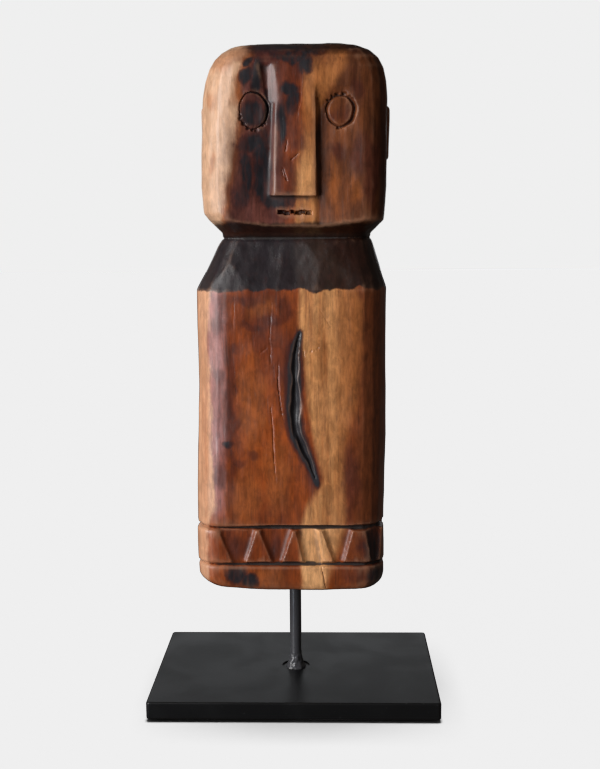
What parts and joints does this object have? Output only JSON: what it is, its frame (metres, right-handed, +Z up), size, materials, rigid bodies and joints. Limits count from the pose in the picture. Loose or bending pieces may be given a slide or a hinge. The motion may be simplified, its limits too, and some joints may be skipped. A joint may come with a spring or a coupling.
{
  "type": "fertility doll",
  "caption": "Carved wooden figure with a square head, a chip-carved skirt band and no limbs, standing on a pin in a flat black plate.",
  "frame": {"origin": "middle of the stand's footprint, on the surface that its pads rest on", "axes": "+Z up along the rod; the face looks along -Y; +X is to the right of someone who looks at the face"},
  "size_m": [0.15, 0.1, 0.3395],
  "materials": {
    "black_plate": "satin black powder coat",
    "black_rod": "gloss black paint",
    "black_weld": "gloss black paint over rough weld metal",
    "felt": "pressed felt",
    "sleeve_brass": "drawn, dull",
    "old_wood": "dark, waxed and worn, with black and golden patches"
  },
  "bodies": {
    "stand": {"base_plate": "black_plate", "felt_pad_front_left": "felt", "felt_pad_front_right": "felt", "felt_pad_back_left": "felt", "felt_pad_back_right": "felt", "support_rod": "black_rod", "weld_bead": "black_weld"},
    "sleeve": {"rod_sleeve": "sleeve_brass"},
    "figure": {"carved_doll": "old_wood"}
  },
  "joints": [
    {"name": "figure_turn", "type": "hinge", "parent": "stand", "child": "sleeve", "pos_m": [0, 0, 0.0625], "axis": [0, 0, 1], "continuous": true},
    {"name": "figure_lift", "type": "slide", "parent": "sleeve", "child": "figure", "axis": [0, 0, 1], "range_m": [0, 0.075]}
  ]
}
